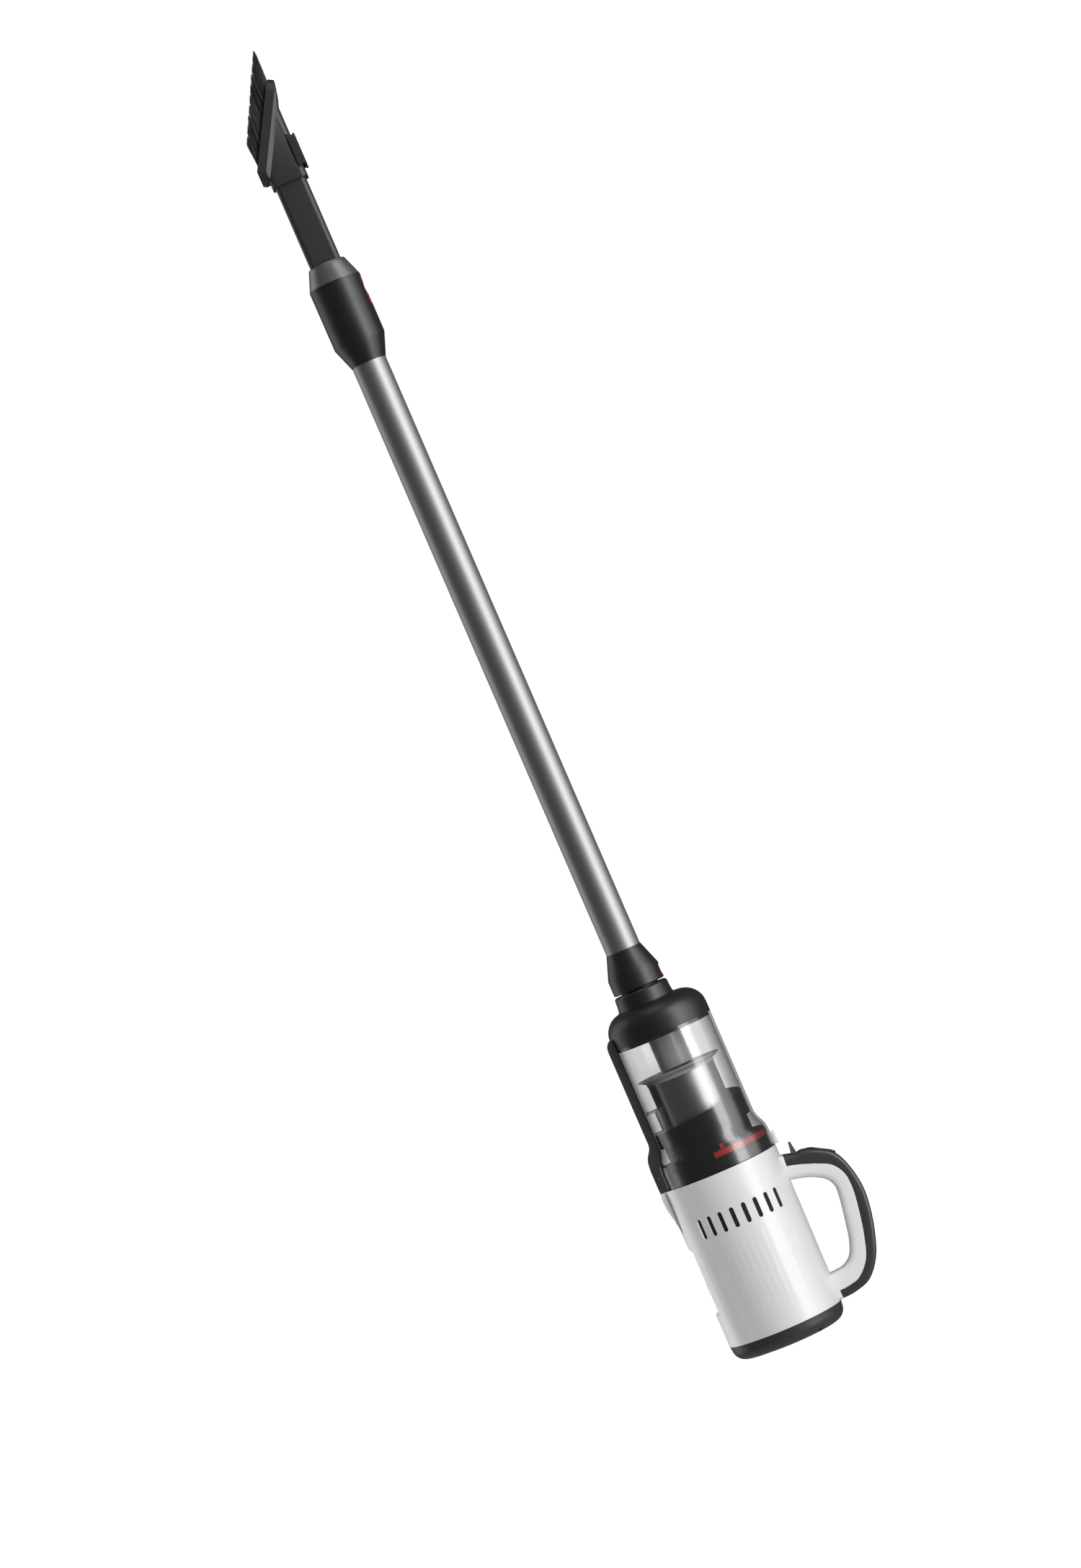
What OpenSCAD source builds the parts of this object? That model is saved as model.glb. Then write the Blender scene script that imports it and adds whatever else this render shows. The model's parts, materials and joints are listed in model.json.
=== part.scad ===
// Cordless stick vacuum: a motor body with a D-handle, a clear cyclone cup,
// a metal wand and a crevice nozzle with a sliding brush.
// +Z runs along the wand from the body to the tool and +X points to the handle.
// The origin is on the wand's axis, in the plane of the flat base.

/* [Body] */
// Offset of the body's axis from the wand's axis, towards the handle
body_x = 3; // [2.5:0.1:3.2]
// Radius of the body shell at its top
body_r = 52.2; // [52:0.1:52.6]
// Height of the body shell's top above the base
body_top = 164.5; // [164:0.1:164.7]
// Height of the dark base cap
base_h = 15.3; // [14.5:0.1:16]
// Thickness of the body shell
shell_t = 2.4; // [2:0.1:2.6]
// Number of vent slots on each side
slot_count = 8; // [6:1:9]
// Angle between neighbouring vent slots
slot_pitch = 12.6; // [11.5:0.1:13]
// Width of the cup latch's fairing on the front
rail_w = 28; // [26:1:30]

/* [Handle] */
// Thickness of the handle across the hand
handle_w = 26; // [24:1:28]
// Angle of the control panel's slope
panel_tilt = 29.75; // [29:0.25:30.5]
// Travel of the two panel buttons
panel_travel = 0.8; // [0.6:0.1:1]

/* [Dust cup] */
// Outside radius of the clear cup
cup_r = 46.3; // [46.1:0.1:46.6]
// Wall of the clear cup
cup_t = 2; // [1.8:0.1:2.1]
// Radius of the steel screen
screen_r = 31.5; // [31:0.1:32]
// Radius of the fill plate over the screen
plate_r = 38.5; // [37:0.5:40]

/* [Wand] */
// Outside radius of the wand tube
tube_r = 16; // [15.8:0.1:16]
// Wall of the wand tube
tube_t = 1; // [0.8:0.1:1.2]
// Outside radius of both collars
collar_r = 24; // [23.8:0.1:24.2]
// Height at which the upper collar starts
upper_z = 944; // [900:1:960]
// Travel of the two red release buttons
release_travel = 1.6; // [1.2:0.1:1.8]

/* [Tool] */
// Width of the crevice nozzle along X
nozzle_w = 29; // [28:0.5:29]
// Depth of the crevice nozzle along Y
nozzle_d = 25; // [24:0.5:25]
// Length of the bristles
bristle_l = 29; // [24:1:32]

/* [Hidden] */
$fn = 96;

// Body levels
body_r0 = 51;                  // radius of the shell at the base
deck_z = 157.5;                // underside of the top deck
slot_z = [114, 132.6];         // ends of a vent slot
slot_w = 4;
slot_mid = -91.6;               // direction of the middle of the near row of slots
swell_r = 45;                  // radius of the swelling down the front
swell_x = -8.5;                // middle of the swelling's radius
boss_r = 43.5;                 // radius of the circle of base screws
cap_bore = 44.6;               // inside radius of the base cap

// Handle stations from the upper root round to the lower root: points on the inner
// edge, on the seam between shell and grip, and on the outer edge. The grip lies
// between the second station and the last but one, and the shell is whole past them.
inner_edge = [[46, 131.8], [55, 130], [64, 128], [70.5, 125.9], [77.5, 122.8], [85, 117.3],
    [89, 108.5], [88.3, 97], [85.5, 80], [81.5, 60], [76, 47.2], [68, 41.6], [61.5, 40.4],
    [55.5, 40.1], [46, 40]];
seam_edge = [[46, 144.7], [56.16, 143.2], [66, 140.6], [73.5, 138], [82.5, 134.4], [94, 128.2],
    [101, 117], [102.3, 102], [99.8, 83], [95, 60], [88.3, 40.5], [77, 28], [66, 24.5],
    [55.9, 23.7], [46, 23.8]];
outer_edge = [[46, 155], [57, 152.8], [68, 150], [75, 150.4], [84.5, 147.3], [98.5, 138.9],
    [107, 124], [111.5, 101], [110, 80], [105, 58], [97.3, 38], [84.5, 22.4], [69, 16.9],
    [56.1, 15.8], [46, 15.6]];
edge_ease = 0.03;              // gap, in stations, between the grip's ends and the shell
panel_mid = [90.5, 143.5];     // middle of the control panel's slope, in X and Z
lever_at = [67, 146];          // the release lever's pivot, in X and Z

// Cup levels
cup_z0 = 165;
cup_top = 296.5;
lip_z = 293.4;                 // bottom of the dome's lip inside the cup
seal_z = [294.1, 295.9];
flare_z = [180, 185, 189, 194, 199];          // heights along the flare
flare_dr = [5.8, 5.2, 3.6, 1.3, 0];           // how far the flare stands out at each
dome_top = 325;
neck_top = 338.5;
neck_r = 26.4;
spine_w = 15.8;                // half width of the spine that hugs the cup
latch_at = [-51.8, 177.5];     // the cup latch's pin, in X and Z
duct_r = 15.2;
plate_z = 261.5;
screen_z = [212.5, 255.3];
ramp_z = [212.5, 231];         // low and high ends of the ramp
housing_r = 43;
waist_r = 39.6;                // the filter housing between its flange and the ramp
ring_z = [176.8, 182.2];       // the red lock ring
nub_a = -81;                   // direction of the ring's nub
rib_a = [-105, -63, 75, 117];  // directions of the thin ribs inside the cup's flare
lug_a = [-133.5, 46.5];        // directions of the framed lugs beside them
spigot_r = 17.2;

// Wand and tool levels
lower_z = 340;
lower_button_z = [341, 352];
tube_z = [352, 984];
upper_seam = upper_z + 21;     // top of the cone that grows out of the tube
upper_rim = upper_z + 77;      // bottom of the lighter end ring
upper_end = upper_z + 95.4;
upper_button_z = [upper_z + 48, upper_z + 73.6];
tool_x = -0.5;                 // middle of the nozzle along X
brush_z = 1118;
mouth_at = [-21.5, 1141];      // where the brush's mouth plane starts, in X and Z
mouth_tilt = 60.66;            // its angle above X
rim_t = 12;                    // thickness of the brush's rim
rim_edge = 8;                  // height of its straight edge, before the chamfer
pad_z = [1126.5, 1157];        // ends of the brush's slide button

// A point on the smooth curve through the list p, t counted in stations
function on_curve(p, t) = let (i = min(floor(t), len(p) - 2), u = t - i,
    a = p[max(i - 1, 0)], b = p[i], c = p[i + 1], d = p[min(i + 2, len(p) - 1)])
    0.5 * (2 * b + (c - a) * u + (2 * a - 5 * b + 4 * c - d) * u * u
    + (3 * b - a - 3 * c + d) * u * u * u);

// Quads joining ring k to ring k + 1, for rings of m points each
function skin(k, m) = [for (j = [0 : m - 1]) [k * m + j, k * m + (j + 1) % m,
    (k + 1) * m + (j + 1) % m, (k + 1) * m + j]];

// A closed solid through a list of rings that all have the same number of points
module loft(rings) {
    m = len(rings[0]);
    n = len(rings);
    polyhedron(points = [for (r = rings) each r], convexity = 6, faces = concat(
        [[for (j = [m - 1 : -1 : 0]) j]],
        [for (k = [0 : n - 2]) each skin(k, m)],
        [[for (j = [0 : m - 1]) (n - 1) * m + j]]));
}

// A coil spring from z = 0 to z = l
module coil(r, wire, l, turns) {
    steps = turns * 12;
    rise = l - 2 * wire;
    loft([for (i = [0 : steps]) let (a = i * 30, z = wire + rise * i / steps)
        [for (j = [0 : 5]) let (w = r + wire * cos(j * 60))
            [w * cos(a), w * sin(a), z - wire * sin(j * 60)]]]);
}

// A plate in XY with round corners
module slab(size, r, h) {
    linear_extrude(h) round_rect(size, r);
}

module round_rect(size, r) {
    union() {
        square([size[0] - 2 * r, size[1]], center = true);
        square([size[0], size[1] - 2 * r], center = true);
        for (x = [-1, 1], y = [-1, 1])
            translate([x * (size[0] / 2 - r), y * (size[1] / 2 - r)]) circle(r, $fn = 48);
    }
}

module on_body() {
    translate([body_x, 0, 0]) children();
}

// A profile in XZ given a thickness along Y
module across(w) {
    rotate([90, 0, 0]) linear_extrude(w, center = true) children();
}

module tube(ro, ri, z0, z1) {
    translate([0, 0, z0]) difference() {
        cylinder(r = ro, h = z1 - z0);
        translate([0, 0, -1]) cylinder(r = ri, h = z1 - z0 + 2);
    }
}

// ---------------------------------------------------------------- motor body

// The vent slots, made narrower by ease all round, out to the radius r
module vent_slots(ease, r) {
    w = slot_w - 2 * ease;
    for (side = [0, 180], k = [0 : slot_count - 1])
        rotate([0, 0, slot_mid + side + (k - (slot_count - 1) / 2) * slot_pitch]) {
            translate([45, -w / 2, slot_z[0] + slot_w / 2])
                cube([r - 45, w, slot_z[1] - slot_z[0] - slot_w]);
            for (z = [slot_z[0] + slot_w / 2, slot_z[1] - slot_w / 2])
                translate([45, 0, z]) rotate([0, 90, 0]) cylinder(d = w, h = r - 45, $fn = 32);
        }
}

// Swelling down the front with the channel that a wall dock slides along, and the fairing
// of the cup latch above it
module dock_rail() {
    intersection() {
        across(2 * swell_r) polygon([[-25, base_h], [-55, base_h], [-55, 45.2], [-50.4, 46.8],
            [-50.2, 106.5], [-52.6, 109.5], [-52.6, body_top], [-25, body_top]]);
        translate([swell_x, 0, base_h]) cylinder(r = swell_r, h = body_top - base_h);
    }
    across(rail_w) polygon([[-40, 124], [-51.5, 124], [-54.5, 142], [-56.2, 150],
        [-56.7, 158], [-55.9, body_top], [-40, body_top]]);
}

module screw_places() {
    for (a = [60, 180, 300])
        rotate([0, 0, a]) translate([boss_r, 0, 0]) children();
}

module body_shell() {
    color("whitesmoke") difference() {
        union() {
            on_body() translate([0, 0, base_h])
                cylinder(r1 = body_r0, r2 = body_r, h = body_top - base_h);
            dock_rail();
        }
        on_body() difference() {
            translate([0, 0, base_h - 1]) cylinder(r1 = body_r0 - shell_t,
                r2 = body_r - shell_t, h = body_top - base_h + 2);
            screw_places() translate([0, 0, 22]) cylinder(r = 6, h = 24, $fn = 48);
        }
        on_body() screw_places() translate([0, 0, 20]) cylinder(r = 1.5, h = 20, $fn = 32);
        on_body() vent_slots(0, 55);
        // pocket for the cup latch's tongue, and seats of the charging contacts
        translate([-55.1, -8.3, 158]) cube([4.2, 16.6, 8]);
        contact_places();
    }
}

module top_deck() {
    color("dimgray") on_body() difference() {
        translate([0, 0, deck_z]) cylinder(r = body_r - shell_t - 0.3, h = 5.5);
        translate([0, 0, deck_z + 3]) cylinder(r = 40, h = 3);
        // air intake, crossed by a grille of rings and spokes
        difference() {
            translate([0, 0, deck_z - 1]) cylinder(r = 22, h = 5);
            for (r = [4.5, 10.5, 16.5])
                tube(r + 1, r - 1, deck_z - 1, deck_z + 4);
            for (a = [0 : 60 : 120])
                rotate([0, 0, a]) translate([-23, -0.8, deck_z - 1]) cube([46, 1.6, 5]);
        }
    }
}

module deck_seal() {
    color("black") on_body() tube(45.5, 42, deck_z + 5.5, deck_z + 6.9);
}

// Foam ring behind the slots, with pads that stand in them
module exhaust_foam() {
    color("black") on_body() {
        tube(49, 45, 106, 142);
        vent_slots(0.1, body_r - 0.9);
    }
}

module fan_housing() {
    color("gray") on_body() difference() {
        union() {
            translate([0, 0, 124]) cylinder(r = 36, h = 26);
            translate([0, 0, 150]) cylinder(r = 26, h = deck_z - 150);
            translate([0, 0, 124]) cylinder(r = 44, h = 2.5);
        }
        translate([0, 0, 126.5]) cylinder(r = 34.2, h = 21.5);
        translate([0, 0, 140]) cylinder(r = 16, h = 20);
        translate([0, 0, 120]) cylinder(r = 22.05, h = 8);
        for (a = [0 : 30 : 330])
            rotate([0, 0, a]) translate([28, -4, 128]) cube([10, 8, 6]);
    }
}

module motor_can() {
    color("silver") on_body() difference() {
        translate([0, 0, 96]) cylinder(r = 22, h = 32);
        translate([0, 0, 97.5]) cylinder(r = 20.8, h = 29);
        translate([0, 0, 90]) cylinder(r = 6, h = 40);
    }
}

module stator_coils() {
    color("peru") on_body() {
        tube(20.8, 15.4, 104, 120);
        for (a = [0 : 60 : 300])
            rotate([0, 0, a]) translate([12.6, -3.4, 101]) cube([4.4, 6.8, 22]);
    }
}

module rotor_core() {
    color("dimgray") on_body() tube(12, 2.5, 104, 120);
}

module motor_shaft() {
    color("silver") on_body() translate([0, 0, 94]) cylinder(r = 2.5, h = 53);
}

module impeller() {
    color("darkgray") on_body() {
        difference() {
            union() {
                translate([0, 0, 136]) cylinder(r = 31, h = 1.6);
                translate([0, 0, 136]) cylinder(r = 7, h = 9);
                for (a = [0 : 40 : 320])
                    rotate([0, 0, a]) translate([6, 0, 137]) rotate([0, 0, 28])
                        cube([20, 1.2, 6]);
            }
            translate([0, 0, 130]) cylinder(r = 2.5, h = 20);
        }
    }
}

module motor_bearings() {
    color("lightgray") on_body() {
        tube(6, 2.56, 96, 100.5);
        tube(6, 2.56, 123.5, 128);
    }
}

module circuit_board() {
    color("darkgreen") on_body() {
        translate([0, 0, 87]) cylinder(r = 42, h = 1.6);
        for (a = [20, 80, 200, 260])
            rotate([0, 0, a]) translate([33, 0, 88]) cylinder(r = 4, h = 9.6, $fn = 32);
        for (a = [50, 140, 320])
            rotate([0, 0, a]) translate([27, -5, 88]) cube([8, 10, 2.8]);
    }
}

module cell_places() {
    children();
    for (a = [0 : 60 : 300])
        rotate([0, 0, a]) translate([19.4, 0, 0]) children();
}

module battery_cells() {
    color("steelblue") on_body() cell_places() translate([0, 0, 18]) cylinder(r = 9.15, h = 65);
}

module battery_trays() {
    color("dimgray") on_body() difference() {
        union() {
            translate([0, 0, 16]) cylinder(r = 32, h = 8);
            translate([0, 0, 77]) cylinder(r = 32, h = 7.5);
        }
        cell_places() translate([0, 0, 18]) cylinder(r = 9.2, h = 65);
        cell_places() translate([0, 0, 80]) cylinder(r = 5, h = 6);
    }
}

module battery_straps() {
    color("silver") on_body() translate([0, 0, 84.5]) {
        tube(21, 17, 0, 0.4);
        for (a = [0 : 60 : 300])
            rotate([0, 0, a]) translate([19.4, 0, 0]) cylinder(r = 4.5, h = 0.4, $fn = 32);
    }
}

// The base's outline from the axis outwards: flat, a round edge, then the side
function cap_edge(r) = concat([[0, 0]],
    [for (a = [-90 : 9 : 0]) [r - 11.5 + 10.8 * cos(a), 11 + 11 * sin(a)]], [[r, base_h]]);

module base_cap() {
    color("dimgray") difference() {
        union() {
            difference() {
                union() {
                    on_body() rotate_extrude()
                        polygon(concat(cap_edge(body_r0), [[0, base_h]]));
                    translate([swell_x, 0, 0]) rotate_extrude()
                        polygon(concat(cap_edge(swell_r), [[0, base_h]]));
                    on_body() translate([0, 0, base_h - 2])
                        cylinder(r = body_r0 - shell_t - 0.2, h = 7);
                }
                on_body() translate([0, 0, 3]) cylinder(r = cap_bore, h = 30);
            }
            intersection() {
                on_body() screw_places() translate([0, 0, 2]) cylinder(r = 4.4, h = 19.9, $fn = 48);
                on_body() rotate_extrude()
                    polygon(concat(cap_edge(body_r0 - 0.6), [[body_r0, 30], [0, 30]]));
            }
            on_body() for (a = [30 : 60 : 330])
                rotate([0, 0, a]) translate([24, 0, 2]) cylinder(r = 3, h = 14, $fn = 32);
        }
        on_body() screw_places() {
            translate([0, 0, -1]) cylinder(r = 3.2, h = 9, $fn = 48);
            cylinder(r = 1.6, h = 30, $fn = 32);
        }
    }
}

module base_screws() {
    color("silver") on_body() screw_places() difference() {
        union() {
            translate([0, 0, 5.6]) cylinder(r = 2.9, h = 2.4, $fn = 32);
            translate([0, 0, 8]) cylinder(r = 1.5, h = 28, $fn = 32);
        }
        translate([-2, -0.4, 5]) cube([4, 0.8, 1.6]);
        translate([-0.4, -2, 5]) cube([0.8, 4, 1.6]);
    }
}

module contact_places() {
    for (y = [-5, 5])
        translate([-50.6, y, 72]) rotate([0, 90, 0]) cylinder(r = 2.4, h = 1.9, $fn = 48);
}

module charge_contacts() {
    color("gold") contact_places();
}

// ---------------------------------------------------------------- handle

// One ring of the handle between the edges p and q at station t. The corners on
// the outer side are rounded by ro and those on the inner side by ri.
function handle_ring(p, q, t, w, ri, ro) = let (a = on_curve(p, t), b = on_curve(q, t),
    l = norm(b - a), d = (b - a) / l)
    [for (s = concat(
        [for (c = [180 : 18 : 270]) [ri + ri * cos(c), ri - w / 2 + ri * sin(c)]],
        [for (c = [270 : 18 : 360]) [l - ro + ro * cos(c), ro - w / 2 + ro * sin(c)]],
        [for (c = [0 : 18 : 90]) [l - ro + ro * cos(c), w / 2 - ro + ro * sin(c)]],
        [for (c = [90 : 18 : 180]) [ri + ri * cos(c), w / 2 - ri + ri * sin(c)]]))
        [a[0] + d[0] * s[0], s[1], a[1] + d[1] * s[0]]];

// The stations that the grip covers, shortened by ease at both ends
function grip_span(ease) = let (last = len(outer_edge) - 2)
    concat([1 + ease], [for (t = [1.25 : 0.25 : last - 0.25]) t], [last - ease]);

// The body's own outline, cut out of the handle's roots
module body_core() {
    on_body() translate([0, 0, base_h])
        cylinder(r1 = body_r0, r2 = body_r, h = body_top - base_h);
}

module handle_shell() {
    color("whitesmoke") difference() {
        loft(concat(
            [for (t = [0 : 0.25 : 1]) handle_ring(inner_edge, outer_edge, t, handle_w, 6, 3.6)],
            [for (t = grip_span(edge_ease / 2))
                handle_ring(inner_edge, seam_edge, t, handle_w, 6, 0.4)],
            [for (t = [len(outer_edge) - 2 : 0.25 : len(outer_edge) - 1])
                handle_ring(inner_edge, outer_edge, t, handle_w, 6, 3.6)]));
        body_core();
    }
}

module at_panel() {
    translate([panel_mid[0], 0, panel_mid[1]]) rotate([0, panel_tilt, 0]) children();
}

module handle_grip() {
    color("dimgray") difference() {
        loft([for (t = grip_span(edge_ease))
            handle_ring(seam_edge, outer_edge, t, handle_w, 0.4, 3.6)]);
        at_panel() translate([0, 0, -1.6]) slab([25, 18], 3, 8);
        at_panel() translate([0, 0, -3.2 - panel_travel]) slab([21, 15], 2, 3);
        // slot for the release lever, and the bore for its pin
        translate([lever_at[0] - 5.5, -5.4, lever_at[1] - 3.2]) cube([11, 10.8, 20]);
        translate([lever_at[0], 0, lever_at[1]]) rotate([90, 0, 0])
            cylinder(r = 1.2, h = 19, center = true, $fn = 48);
    }
}

module control_panel() {
    color([0.1, 0.1, 0.1]) at_panel() difference() {
        translate([0, 0, -1.6]) slab([25, 18], 3, 2);
        for (x = [-5.3, 5.3])
            translate([x, 0, -3]) slab([9.4, 13.4], 2, 5);
    }
}

module panel_button(x) {
    at_panel() translate([x, 0, -2]) slab([8.8, 12.8], 1.8, 3);
}

module power_button() {
    color("black") panel_button(-5.3);
}

module mode_button() {
    color("black") panel_button(5.3);
}

module release_lever() {
    color("gray") translate([lever_at[0], 0, lever_at[1]]) difference() {
        union() {
            rotate([90, 0, 0]) cylinder(r = 2.6, h = 10, center = true, $fn = 48);
            across(10) polygon([[-2.5, 0], [2.5, 0], [2.5, 4.5], [1, 14.4], [0.4, 15],
                [-0.4, 15], [-1, 14.4], [-2.5, 4.5]]);
        }
        rotate([90, 0, 0]) cylinder(r = 1.25, h = 12, center = true, $fn = 48);
    }
}

module lever_pin() {
    color("silver") translate([lever_at[0], 0, lever_at[1]]) rotate([90, 0, 0])
        cylinder(r = 1.2, h = 19, center = true, $fn = 48);
}

module lever_spring() {
    color("silver") translate([lever_at[0] + 3.3, 0, lever_at[1] + 1.6]) rotate([0, 90, 0])
        coil(1.2, 0.22, 2.2, 4);
}

// ---------------------------------------------------------------- dust cup

// Outside radius of the cup from bottom to top
cup_line = concat([[cup_r + flare_dr[0], cup_z0]],
    [for (i = [0 : len(flare_z) - 1]) [cup_r + flare_dr[i], flare_z[i]]],
    [[cup_r, cup_top]]);

module cup_wall(inset, from, to) {
    rotate_extrude() polygon(concat([for (p = cup_line) [p[0] - inset,
        p[1] == cup_z0 ? from : (p[1] == cup_top ? to : p[1])]], [[0, to], [0, from]]));
}

module dust_cup() {
    color([0.85, 0.87, 0.88, 0.35]) {
        on_body() difference() {
            cup_wall(0, cup_z0, cup_top);
            cup_wall(cup_t, cup_z0 - 1, cup_top + 1);
        }
        // thin ribs and framed lugs inside the flare
        on_body() intersection() {
            union() {
                for (a = rib_a)
                    rotate([0, 0, a]) translate([cup_r - cup_t, -0.7, 185]) cube([6, 1.4, 12]);
                for (a = lug_a)
                    rotate([0, 0, a]) translate([cup_r - cup_t, -4.6, 185]) difference() {
                        cube([6, 9.2, 8.6]);
                        translate([-1, 1.2, -1]) cube([8, 6.8, 7.4]);
                    }
            }
            cup_wall(cup_t / 2, cup_z0, cup_top);
        }
        // hooked lug on the handle side
        difference() {
            translate([53, -5, cup_z0]) cube([5.5, 10, 11]);
            on_body() cylinder(r = cup_r + flare_dr[0] - 0.5, h = 200);
            translate([54.6, -3.4, cup_z0 - 1]) cube([2.2, 6.8, 10]);
        }
        // ears that carry the latch
        difference() {
            for (y = [-11, 8.6])
                translate([-56, y, cup_z0]) cube([12, 2.4, 22]);
            on_body() cylinder(r = cup_r + flare_dr[0] - 0.5, h = 181);
            on_body() translate([0, 0, 180]) cylinder(r = cup_r + 3, h = 20);
            translate([latch_at[0], 0, latch_at[1]]) rotate([90, 0, 0])
                cylinder(r = 1.2, h = 30, center = true, $fn = 48);
        }
    }
}

// The dome's outside line, with a shoulder that is a quarter of an ellipse
dome_line = concat([[cup_r + 0.2, cup_top], [cup_r + 0.1, 306]],
    [for (a = [10 : 10 : 90]) [cup_r - 19.9 + 20 * cos(a), 306 + 19 * sin(a)]]);

module dome() {
    color([0.06, 0.06, 0.06]) difference() {
        union() {
            on_body() rotate_extrude() polygon(concat([[0, cup_top]], dome_line, [[0, dome_top]]));
            on_body() translate([0, 0, lip_z]) cylinder(r = cup_r - cup_t - 0.1, h = 4);
        }
        difference() {
            on_body() union() {
                translate([0, 0, 280]) cylinder(r = cup_r - cup_t - 2.6, h = 27);
                translate([0, 0, 306.9]) cylinder(r1 = cup_r - cup_t - 2.6, r2 = 28, h = 15);
            }
            translate([0, 0, 300]) cylinder(r = spigot_r + 2.8, h = 30);
            on_body() translate([0, 0, 286]) cylinder(r = duct_r + 2, h = 20);
        }
        translate([0, 0, 300.4]) cylinder(r = spigot_r + 0.3, h = 40);
        on_body() translate([0, 0, 280]) cylinder(r = duct_r, h = 19);
        on_body() translate([0, 0, 298]) cylinder(r = duct_r - 1.6, h = 4);
        // seat of the cup seal
        on_body() tube(cup_r, cup_r - cup_t - 1.6, seal_z[0] - 0.1, seal_z[1] + 0.1);
    }
}

module dome_seal() {
    color("black") on_body() tube(cup_r - cup_t - 0.05, cup_r - cup_t - 1.6, seal_z[0], seal_z[1]);
}

module neck_ring() {
    color([0.08, 0.08, 0.08]) rotate_extrude() polygon([[spigot_r + 0.3, dome_top],
        [neck_r, dome_top], [neck_r - 0.6, dome_top + 2], [neck_r - 1, dome_top + 5],
        [neck_r - 1.4, neck_top - 1.6], [neck_r - 2.8, neck_top], [spigot_r + 0.3, neck_top]]);
}

module inlet_duct() {
    color("gray") on_body() tube(duct_r, duct_r - 1.6, plate_z + 1.4, 299);
}

// Spine that carries the wiring up the front of the cup
module cup_spine() {
    color("dimgray") difference() {
        across(2 * spine_w) polygon(concat([[-36, 307], [-36, 187.4], [-55.6, 187.4],
            [-55.6, 190.5], [-55.2, 193.2], [-54.2, 196], [-52.7, 198.6], [-51, 201],
            [-49.6, 203.4], [-48.8, 206], [-48.5, 209]],
            [for (a = [180 : -15 : 90]) [-39.5 + 9 * cos(a), 298 + 9 * sin(a)]]));
        on_body() cup_wall(0, 150, 320);
        on_body() translate([0, 0, 294]) cylinder(r = cup_r + 0.25, h = 20);
    }
}

module cup_latch() {
    color([0.5, 0.52, 0.54]) difference() {
        union() {
            translate([latch_at[0], 0, latch_at[1]]) rotate([90, 0, 0])
                cylinder(r = 2, h = 16, center = true, $fn = 48);
            across(16) polygon([[-53.4, 160.5], [-52, 160.5], [-52, 176], [-51.8, 179.4],
                [-53, 185.6], [-55.4, 185.6], [-55.4, 169], [-53.4, 167]]);
        }
        translate([latch_at[0], 0, latch_at[1]]) rotate([90, 0, 0])
            cylinder(r = 1.26, h = 20, center = true, $fn = 48);
    }
}

module latch_pin() {
    color("silver") translate([latch_at[0], 0, latch_at[1]]) rotate([90, 0, 0])
        cylinder(r = 1.2, h = 22, center = true, $fn = 48);
}

module latch_spring() {
    color("silver") translate([-51.8, 0, 182.6]) rotate([0, 90, 0]) coil(1.8, 0.25, 2.6, 4);
}

// ---------------------------------------------------------------- cyclone and filter

module fill_plate() {
    color("gray") on_body() rotate_extrude() polygon([[duct_r + 0.1, plate_z],
        [plate_r, plate_z], [plate_r, plate_z - 0.6], [screen_r + 0.6, 257.5],
        [screen_r + 0.6, screen_z[1]], [screen_r - 1.4, screen_z[1]],
        [screen_r - 1.4, 257.6], [duct_r + 0.1, 257.6]]);
}

module spout_gap() {
    translate([-45, -10.4, 212]) cube([30, 20.8, 22.6]);
}

module screen_frame() {
    color("black") on_body() difference() {
        union() {
            tube(screen_r - 1.4, screen_r - 3.4, screen_z[0], screen_z[0] + 3);
            tube(screen_r - 1.4, screen_r - 3.4, 252, 257.6);
            for (a = [30 : 60 : 330])
                rotate([0, 0, a]) translate([screen_r - 3.4, -1.5, screen_z[0]])
                    cube([1.9, 3, 44]);
        }
        translate([-body_x, 0, 0]) spout_gap();
    }
}

module steel_screen() {
    color("lightsteelblue") difference() {
        on_body() tube(screen_r, screen_r - 0.8, screen_z[0], screen_z[1]);
        spout_gap();
    }
}

// Elbow that takes the dirty air from the duct out past the screen
module inlet_spout() {
    color("gray") difference() {
        union() {
            on_body() translate([0, 0, 224]) cylinder(r = duct_r, h = plate_z - 224);
            translate([-39.5, -10, 213]) cube([39.5, 20, 21.2]);
        }
        on_body() translate([0, 0, 232]) cylinder(r = duct_r - 1.5, h = 60);
        translate([-37.8, -8.4, 214.6]) cube([36, 16.8, 18]);
        translate([-41, -12, 214.6]) cube([10.6, 24, 18]);
        translate([-6, 0, 232]) cylinder(r = 4, h = 4);
    }
}

// Ramp that spirals round the foot of the screen
module spiral_ramp() {
    rise = ramp_z[1] - ramp_z[0];
    color("black") on_body()
        loft([for (a = [200 : 6.1 : 505]) let (z = ramp_z[0] + 0.6 + rise * (a - 200) / 305)
            [for (p = [[screen_r + 0.3, ramp_z[0]], [housing_r, ramp_z[0]], [housing_r, z],
                [screen_r + 0.3, z]]) [p[0] * cos(a), p[0] * sin(a), p[1]]]]);
}

module filter_housing() {
    color([0.07, 0.07, 0.07]) on_body() difference() {
        union() {
            translate([0, 0, 165.4]) cylinder(r = 48.6, h = 19);
            translate([0, 0, 183]) cylinder(r = waist_r, h = ramp_z[0] - 183);
            translate([0, 0, 200]) cylinder(r = housing_r, h = ramp_z[0] - 200);
        }
        translate([0, 0, 160]) cylinder(r = 40.6, h = 21.5);
        translate([0, 0, 160]) cylinder(r = waist_r - 2, h = 48);
        translate([0, 0, 200]) cylinder(r = screen_r - 3.4, h = 20);
        tube(52, 46.4, ring_z[0] - 0.3, ring_z[1] + 0.3);
        // slot that the lock ring's nub turns in
        rotate([0, 0, nub_a + 6]) translate([45, -8, ring_z[1] - 2]) cube([5, 16, 8]);
    }
}

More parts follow.
